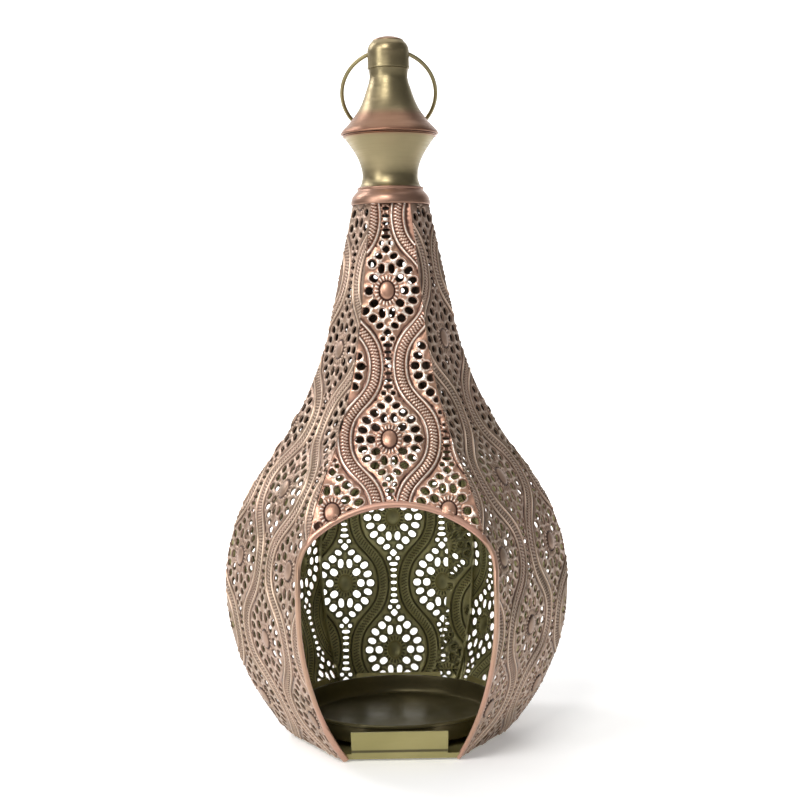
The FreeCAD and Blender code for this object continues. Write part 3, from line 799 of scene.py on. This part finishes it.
class Graph:
    """A small helper for building one material's nodes."""

    def __init__(self, name):
        self.material = bpy.data.materials.new(name)
        self.material.use_nodes = True
        self.tree = self.material.node_tree
        self.tree.nodes.clear()
        self.surface = self.add("ShaderNodeBsdfPrincipled")
        output = self.add("ShaderNodeOutputMaterial")
        self.link(self.surface.outputs["BSDF"], output.inputs["Surface"])
        self.place = self.add("ShaderNodeTexCoord").outputs["Object"]

    def add(self, kind, **settings):
        """A node with the given settings."""
        node = self.tree.nodes.new(kind)
        for key, value in settings.items():
            setattr(node, key, value)
        return node

    def link(self, source, target):
        """Join two sockets."""
        self.tree.links.new(source, target)

    def noise(self, scale, detail=3.0, stretch=(1, 1, 1)):
        """Cloudy noise over the piece, scale in features per metre."""
        place = self.place
        if stretch != (1, 1, 1):
            mapping = self.add("ShaderNodeMapping")
            mapping.inputs["Scale"].default_value = stretch
            self.link(self.place, mapping.inputs["Vector"])
            place = mapping.outputs["Vector"]
        node = self.add("ShaderNodeTexNoise")
        node.inputs["Scale"].default_value = scale
        node.inputs["Detail"].default_value = detail
        self.link(place, node.inputs["Vector"])
        return node.outputs["Fac"]

    def spread(self, source, low, high, to_low=0.0, to_high=1.0):
        """The source's range from low to high carried to another range, smoothly."""
        node = self.add("ShaderNodeMapRange", interpolation_type="SMOOTHSTEP")
        for place, value in enumerate((low, high, to_low, to_high)):
            node.inputs[place + 1].default_value = value
        self.link(source, node.inputs[0])
        return node.outputs[0]

    def blend(self, factor, first, second):
        """A colour between two, each a colour or a socket."""
        node = self.add("ShaderNodeMix", data_type="RGBA")
        self.link(factor, node.inputs[0])
        for socket, value in ((node.inputs[6], first), (node.inputs[7], second)):
            if isinstance(value, tuple):
                socket.default_value = (*value, 1.0)
            else:
                self.link(value, socket)
        return node.outputs[2]

    def level(self):
        """Height up the piece, in metres."""
        split = self.add("ShaderNodeSeparateXYZ")
        self.link(self.place, split.inputs[0])
        return split.outputs["Z"]

    def bump(self, source, strength, distance):
        """Fine relief on the surface."""
        node = self.add("ShaderNodeBump")
        node.inputs["Strength"].default_value = strength
        node.inputs["Distance"].default_value = distance
        self.link(source, node.inputs["Height"])
        self.link(node.outputs["Normal"], self.surface.inputs["Normal"])


def shade(red, green, blue):
    """A colour as seen on a screen, out of 255, as light."""
    return tuple((value / 255) ** 2.2 for value in (red, green, blue))


def embossed_metal(name, deep, main, bright, metallic, roughness, crest=0.8, upper_shade=None):
    """Painted metal, darker in the recesses of its embossing and brighter on what stands proud: partly
    tarnish and rubbed wear, partly painted shade and painted highlight.

    Painted shade towards the top is given as the level where it starts, the level where it is full, and its
    colour.
    """
    graph = Graph(name)
    wear_and_painted_light = graph.add("ShaderNodeAttribute", attribute_name="wear_and_painted_light").outputs["Fac"]
    cloud = graph.noise(38.0, 4.0)
    speck = graph.noise(900.0, 3.0)
    body = graph.blend(graph.spread(cloud, 0.35, 0.68), main[0], main[1])
    # painted shade in the recesses, over some tarnish there
    recess_tarnish_and_shade = graph.blend(graph.spread(wear_and_painted_light, -0.5, 0.05), deep, body)
    # painted highlight on what stands proud, with rubbed wear
    rubbed_and_highlight = graph.add("ShaderNodeMath", operation="MULTIPLY")
    graph.link(graph.spread(wear_and_painted_light, crest * 0.45, crest), rubbed_and_highlight.inputs[0])
    graph.link(graph.spread(speck, 0.3, 0.62, 0.45, 1.0), rubbed_and_highlight.inputs[1])
    colour = graph.blend(rubbed_and_highlight.outputs[0], recess_tarnish_and_shade, bright)
    # painted shade darkens the inside towards the top, where little light gets in
    if upper_shade:
        start, full, upper_shade_colour = upper_shade
        colour = graph.blend(graph.spread(graph.level(), start * MM, full * MM), colour, upper_shade_colour)
    graph.link(colour, graph.surface.inputs["Base Color"])
    graph.surface.inputs["Metallic"].default_value = metallic
    graph.link(graph.spread(speck, 0.3, 0.7, *roughness), graph.surface.inputs["Roughness"])
    graph.bump(speck, 0.25, 0.00012)
    return graph.material


def spun_metal(name, low, high, metallic, roughness, cloud=26.0, edge=None, bands=()):
    """Smooth metal with cloudy colour and faint marks round the axis.

    The colour turns to that of the edge near the bands, each given as its middle level and half depth.
    """
    graph = Graph(name)
    colour = graph.blend(graph.spread(graph.noise(cloud, 4.0), 0.32, 0.7), low, high)
    lines = graph.noise(420.0, 2.0, (0.15, 0.15, 4.0))
    for middle, half in bands:
        off = graph.add("ShaderNodeMath", operation="SUBTRACT")
        graph.link(graph.level(), off.inputs[0])
        off.inputs[1].default_value = middle * MM
        size = graph.add("ShaderNodeMath", operation="ABSOLUTE")
        graph.link(off.outputs[0], size.inputs[0])
        near = graph.spread(size.outputs[0], half * MM, half * 0.35 * MM, 0.0, 0.8)
        colour = graph.blend(near, colour, edge)
    graph.link(colour, graph.surface.inputs["Base Color"])
    graph.surface.inputs["Metallic"].default_value = metallic
    graph.link(graph.spread(lines, 0.3, 0.7, *roughness), graph.surface.inputs["Roughness"])
    graph.bump(lines, 0.12, 0.00006)
    return graph.material


# lit and shaded copies of one rose finish: the front's has whiter, broader painted highlights and darker
# painted shade, the sides' duller ones
ROSE_FRONT_LIT = embossed_metal(
    "rose_copper", shade(74, 50, 42), (shade(184, 140, 120), shade(168, 132, 110)),
    shade(255, 246, 234), 0.6, (0.28, 0.42), crest=0.66)
ROSE_SIDES_DIM = embossed_metal(
    "rose_copper_side_dim", shade(86, 68, 58), (shade(166, 138, 121), shade(148, 126, 107)),
    shade(214, 194, 174), 0.55, (0.32, 0.46))
# the inside is darkened towards the top with painted shade
OLIVE_INSIDE = embossed_metal(
    "olive_inside", shade(112, 109, 76), (shade(180, 174, 124), shade(160, 155, 110)),
    shade(172, 164, 112), 0.5, (0.34, 0.5), upper_shade=(138.0, 168.0, shade(64, 50, 40)))
EDGING = spun_metal("copper_edging", shade(190, 146, 128), shade(178, 146, 122), 0.6, (0.28, 0.4))
DISH = spun_metal("dark_olive_dish", shade(92, 86, 60), shade(104, 96, 68), 0.6, (0.28, 0.42))
COLLAR = spun_metal("rose_collar", shade(166, 130, 112), shade(152, 120, 102), 0.8, (0.3, 0.44))
WIRE = spun_metal("ring_wire", shade(134, 124, 90), shade(150, 138, 104), 0.8, (0.3, 0.42))
STEEL = spun_metal("plain_steel", shade(150, 148, 142), shade(170, 168, 162), 0.9, (0.3, 0.45))

# painted shadow: a dark line along the foot of the flaps, where the groove above the foot rim lies in shade
BRASS_SHADE_LINED = spun_metal(
    "khaki_brass_shade_lined", shade(156, 148, 98), shade(168, 159, 109), 0.65, (0.3, 0.44),
    30.0, shade(44, 38, 22), ((6.7, 1.35),))

# rose shows on the bell's rim and skirt and on the cap's dome
CHAMPAGNE = spun_metal(
    "champagne", shade(138, 127, 97), shade(152, 137, 106), 0.85, (0.3, 0.46),
    30.0, shade(142, 103, 85), ((342.6, 2.4), (348.0, 9.0), (396.4, 2.4)))


def dress(piece, material):
    """Give a piece one material."""
    piece.data.materials.clear()
    piece.data.materials.append(material)


def stand_in(piece, body, slot, *nodes):
    """Declare what a piece rides on and hide the CAD nodes it stands for; the slot is not used."""
    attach(piece, body)
    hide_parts(*nodes)


# --- the sheet-metal body ---

KINDS = {"front_panel": "front", "front_right_panel": "front_right", "front_left_panel": "front_left"}
PATTERN_SHIFT = {"front_panel": -2.8, "back_panel": 2.0}
LAP_PHASE = 60.0

for node, facing in FACING.items():
    region = Region(KINDS.get(node, "whole"), PANEL_PHASE[node], PATTERN_SHIFT.get(node, 0.0))
    panel = sheet_piece(node + "_sheet", region, facing, 0.0, (-1, 1),
                        (ROSE_FRONT_LIT if node == "front_panel" else ROSE_SIDES_DIM, OLIVE_INSIDE))
    stand_in(panel, "lantern", "rose_copper_sheet", node)

lap = sheet_piece("seam_lap_sheet", Region("lap", LAP_PHASE), FACING["back_panel"], LAP_DEPTH, (),
                  (OLIVE_INSIDE, OLIVE_INSIDE))
stand_in(lap, "lantern", "dark_olive_metal", "seam_lap")

EDGE_HALF, EDGE_PROUD, EDGE_DEPTH = 1.75, 0.85, 1.5


def edging():
    """The rounded bead round the doorway, folded where it crosses a ridge."""
    right = DOOR[:-1]
    left = DOOR[::-1] * (-1, 1)
    left[:, 0] += left_lean(left[:, 1])
    line = np.vstack([right, left])
    out = profile_out(line[:, 1])
    level = along(line[:, 1])
    rise_out = np.interp(level, LENGTHS, np.gradient(OUTS, LENGTHS))
    rise_up = np.interp(level, LENGTHS, np.gradient(HEIGHTS, LENGTHS))
    side = np.sign(line[:, 0])
    beyond = np.abs(line[:, 0]) > out * HALF_GORE
    y = np.where(beyond, -(2 * out - math.sqrt(3) * np.abs(line[:, 0])), -out)
    turn = np.where(beyond, side * math.pi / 3, 0)
    normals = np.column_stack([np.sin(turn) * rise_up, -np.cos(turn) * rise_up, -rise_out])
    path = smoothed(np.column_stack([line[:, 0], y, line[:, 1]]), 4)
    normals = smoothed(normals, 8)
    arc = np.linspace(0, math.pi, 13)
    section = np.column_stack([EDGE_HALF * np.cos(arc), EDGE_PROUD * np.sin(arc) ** 0.8])
    under = np.array([(-EDGE_HALF + 0.2, -EDGE_DEPTH + 0.3), (-EDGE_HALF + 0.6, -EDGE_DEPTH),
                      (EDGE_HALF - 0.6, -EDGE_DEPTH), (EDGE_HALF - 0.2, -EDGE_DEPTH + 0.3)])
    piece = swept("arch_edging_bead", path, normals, np.vstack([section, under]))
    facing_out(piece)
    return piece


bead = edging()
dress(bead, EDGING)
stand_in(bead, "lantern", "copper_edging", "arch_edging")

# --- spun pieces ---

SPUN_WALL, LEAST_BORE = 0.8, 0.3

# outlines as (radius, height), each point one that a smooth curve passes through
COLLAR_LINE = ((21.0, 303.05), (22.0, 303.1), (22.3, 303.5), (22.3, 304.8), (22.0, 306.3), (21.4, 307.8),
               (20.3, 309.3), (19.2, 310.5), (18.7, 311.2), (18.55, 311.6), (18.8, 312.0), (18.75, 312.6),
               (18.2, 312.95), (17.2, 312.95))
CUP_LINE = ((17.1, 313.0), (17.8, 313.05), (17.2, 313.7), (16.4, 315.3), (15.8, 317.8), (15.65, 320.0),
            (15.9, 322.6), (16.65, 325.7), (17.8, 328.8), (19.3, 331.8), (21.3, 335.0), (23.5, 338.2),
            (26.0, 341.6), (26.3, 342.0), (25.5, 342.3))
BELL_LINE = ((25.4, 342.4), (26.9, 342.42), (27.4, 342.65), (27.55, 343.1), (27.3, 343.7), (26.1, 345.3),
             (23.4, 348.1), (20.9, 351.1), (18.6, 354.2), (16.7, 357.2), (15.0, 360.7), (13.7, 364.2),
             (12.55, 367.7), (11.5, 370.9), (10.85, 373.6), (10.75, 375.4), (10.95, 377.6), (11.15, 378.9),
             (10.75, 379.1), (10.75, 380.2))
CAP_LINE = ((10.9, 379.15), (11.7, 379.15), (11.85, 379.45), (11.75, 381.4), (11.7, 384.5), (11.75, 387.8),
            (11.7, 389.4), (11.35, 390.9), (10.75, 392.3), (10.0, 393.3), (9.2, 394.2), (8.9, 394.5),
            (8.6, 395.1), (7.2, 395.9), (4.8, 396.7), (2.4, 397.08), (0.0, 397.18))
DISH_LINE = ((0.0, 8.75), (40.15, 8.75), (40.15, 5.0), (40.95, 5.0), (41.0, 8.7), (53.6, 8.8), (54.4, 9.5),
             (56.0, 18.1), (56.95, 18.6), (57.15, 19.5), (56.85, 20.15), (56.1, 20.4), (55.3, 20.15),
             (55.05, 19.5), (54.65, 16.6), (54.1, 13.0), (53.6, 11.2), (52.95, 10.35), (51.9, 9.95),
             (50.9, 9.85), (49.6, 9.62), (30.0, 9.6), (0.0, 9.6))


def spun_shell(name, line):
    """A thin spun piece: its outer line, and the same line set in by the wall and freed of its folds."""
    outer = rounded(line, 4)
    course = np.gradient(outer, axis=0)
    course /= np.linalg.norm(course, axis=1)[:, None]
    inner = outer + np.column_stack([-course[:, 1], course[:, 0]]) * SPUN_WALL
    inner[:, 0] = np.where(outer[:, 0] < ON_AXIS, 0, np.maximum(inner[:, 0], LEAST_BORE))
    kept = [inner[-1]]
    for point, heading in zip(inner[-2::-1], -course[-2::-1]):
        if np.dot(point - kept[-1], heading) > 0.05:
            kept.append(point)
    piece = turned(name, np.vstack([outer, kept, outer[:1]]))
    facing_out(piece)
    return piece


def spun_piece(name, line, node, slot, material):
    """A spun shell dressed and declared."""
    piece = spun_shell(name, line)
    dress(piece, material)
    stand_in(piece, "lantern", slot, node)
    return piece


spun_piece("neck_collar_spun", COLLAR_LINE, "neck_collar", "rose_collar", COLLAR)
spun_piece("finial_cup_spun", CUP_LINE, "finial_cup", "champagne_metal", CHAMPAGNE)
spun_piece("finial_bell_spun", BELL_LINE, "finial_bell", "champagne_metal", CHAMPAGNE)
cap = spun_piece("finial_cap_spun", CAP_LINE, "finial_cap", "champagne_metal", CHAMPAGNE)

dish = turned("candle_dish_spun", DISH_LINE, DISH_SIDES)
facing_out(dish)
dress(dish, DISH)
stand_in(dish, "lantern", "dark_olive_metal", "candle_dish")

# --- the ring ---

RING_RADIUS, WIRE_RADIUS = 26.7, 1.15
RING_HINGE = frame["joints"][0]["pos_m"][2] / MM
CAP_HALF, CAP_HOLE = 11.3, 1.6
RING_DROP = math.sqrt(RING_RADIUS**2 - CAP_HALF**2)
RING_TILT = math.radians(33.57)
JOINT_AT, JOINT_GAP = math.radians(-80), 0.4


def circle(radius, count=16):
    """A round section."""
    angles = np.arange(count) * 2 * math.pi / count
    return np.column_stack([radius * np.cos(angles), radius * np.sin(angles)])


def ring():
    """A bent wire ring through the cap's holes, its ends butted together behind the bell."""
    centre = np.array([0, RING_DROP * math.sin(RING_TILT), RING_HINGE - RING_DROP * math.cos(RING_TILT)])
    upward = np.array([0, -math.sin(RING_TILT), math.cos(RING_TILT)])
    gap = JOINT_GAP / RING_RADIUS
    turns = np.linspace(JOINT_AT + gap / 2, JOINT_AT + 2 * math.pi - gap / 2, 160)
    spokes = np.outer(np.cos(turns), (1, 0, 0)) + np.outer(np.sin(turns), upward)
    piece = swept("hanging_ring_wire", centre + RING_RADIUS * spokes, spokes, circle(WIRE_RADIUS))
    facing_out(piece)
    return piece


wire = ring()
dress(wire, WIRE)
stand_in(wire, "ring", "ring_wire_metal", "hanging_ring")
reach = np.column_stack([np.linspace(-20, 20, 9), np.zeros(9), np.full(9, RING_HINGE)])
drill = swept("drill", reach, np.tile((0.0, 0.0, 1.0), (9, 1)), circle(CAP_HOLE, 24))
facing_out(drill)
drilled(cap, drill)

# --- CAD pieces that keep their shape ---

KEPT = {"bottom_hoop": BRASS_SHADE_LINED, "base_plate": BRASS_SHADE_LINED, "foot_front_right": BRASS_SHADE_LINED, "foot_back_right": BRASS_SHADE_LINED,
        "foot_left": BRASS_SHADE_LINED, "neck_plate": STEEL, "rod_washer": STEEL, "bottom_nut": STEEL, "top_nut": STEEL,
        "tie_rod": STEEL}
for node, material in KEPT.items():
    part = frame["nodes"][node]
    dress(part, material)
    soft = part.modifiers.new("soft_edges", "BEVEL")
    soft.width, soft.segments = 0.18 * MM, 2
    soft.limit_method, soft.angle_limit = "ANGLE", math.radians(50)

# --- floor, light and camera ---


FLOOR_FRONT, FLOOR_BACK, FLOOR_HALF = -3.0, 2.0, 4.0
FLOOR_BEND, BEND_STEPS, WALL_TOP = 0.8, 12, 4.0
FLOOR_GLOW = 0.26


def floor():
    """A plain pale sweep under and behind the lantern, glowing a little."""
    run = [(FLOOR_FRONT, 0.0), (FLOOR_BACK, 0.0)]
    for step in range(1, BEND_STEPS + 1):
        angle = step / BEND_STEPS * math.pi / 2
        run.append((FLOOR_BACK + FLOOR_BEND * math.sin(angle), FLOOR_BEND - FLOOR_BEND * math.cos(angle)))
    run.append((FLOOR_BACK + FLOOR_BEND, WALL_TOP))
    points = [(x, y, z) for y, z in run for x in (-FLOOR_HALF, FLOOR_HALF)]
    faces = [(2 * row, 2 * row + 1, 2 * row + 3, 2 * row + 2) for row in range(len(run) - 1)]
    sweep = mesh_object("studio_floor", np.array(points) / MM, faces)
    graph = Graph("studio_paper")
    patches = graph.spread(graph.noise(3.0, 2.0), 0.3, 0.7)
    graph.link(graph.blend(patches, (0.9, 0.9, 0.89), (0.93, 0.93, 0.93)), graph.surface.inputs["Base Color"])
    graph.surface.inputs["Roughness"].default_value = 0.9
    graph.surface.inputs["Specular IOR Level"].default_value = 0.1
    graph.surface.inputs["Emission Color"].default_value = (1.0, 1.0, 1.0, 1.0)
    graph.surface.inputs["Emission Strength"].default_value = FLOOR_GLOW
    dress(sweep, graph.material)


# each lamp's name, place, what it points at, width and height, watts and colour
LAMPS = (
    ("key", (-0.42, -1.15, 1.2), (0, 0, 0.26), (0.5, 0.5), 11.6, (1.0, 0.98, 0.95)),
    ("side", (-1.25, -1.0, 0.85), (0, 0, 0.29), (0.55, 1.0), 12.5, (1.0, 0.99, 0.97)),
    ("window", (-1.1, 0.6, 1.2), (0, 0, 0.3), (0.45, 0.8), 10.0, (1.0, 0.98, 0.99)),
    ("overhead", (0.0, 0.5, 2.4), (0, 0.4, 0), (2.2, 2.2), 20.0, (1.0, 1.0, 1.0)),
    ("backdrop", (0.0, 0.8, 1.4), (0, 2.6, 0.5), (1.6, 1.6), 60.0, (1.0, 1.0, 1.0)),
)


def lamp(name, place, aim, size, watts, colour):
    """A soft light pointed at a place."""
    data = bpy.data.lights.new(name, "AREA")
    data.shape, data.energy, data.color = "RECTANGLE", watts, colour
    data.size, data.size_y = size
    light = bpy.data.objects.new(name, data)
    bpy.context.scene.collection.objects.link(light)
    light.location = place
    light.rotation_euler = (Vector(aim) - Vector(place)).to_track_quat("-Z", "Y").to_euler()


floor()
for values in LAMPS:
    lamp(*values)

world = bpy.data.worlds.new("studio")
bpy.context.scene.world = world
world.use_nodes = True
sky = world.node_tree.nodes["Background"]
sky.inputs["Color"].default_value = (0.97, 0.985, 1.0, 1.0)
sky.inputs["Strength"].default_value = 0.11
bpy.context.scene.view_settings.view_transform = "Standard"

CAMERA_PLACE = Vector((0.0, -0.86505, 0.24833))
CAMERA_AIM = Vector((0.00346, 0.0, 0.1928))
CAMERA_ROLL = math.radians(0.95)
LENS, SENSOR = 68.5, 36.0
lens = bpy.data.cameras.new("camera")
lens.lens, lens.sensor_width = LENS, SENSOR
lens.clip_start, lens.clip_end = 0.05, 20.0
camera = bpy.data.objects.new("camera", lens)
bpy.context.scene.collection.objects.link(camera)
camera.location = CAMERA_PLACE
camera.rotation_mode = "QUATERNION"
aimed = (CAMERA_AIM - CAMERA_PLACE).to_track_quat("-Z", "Y")
camera.rotation_quaternion = aimed @ Matrix.Rotation(-CAMERA_ROLL, 3, "Z").to_quaternion()
bpy.context.scene.camera = camera
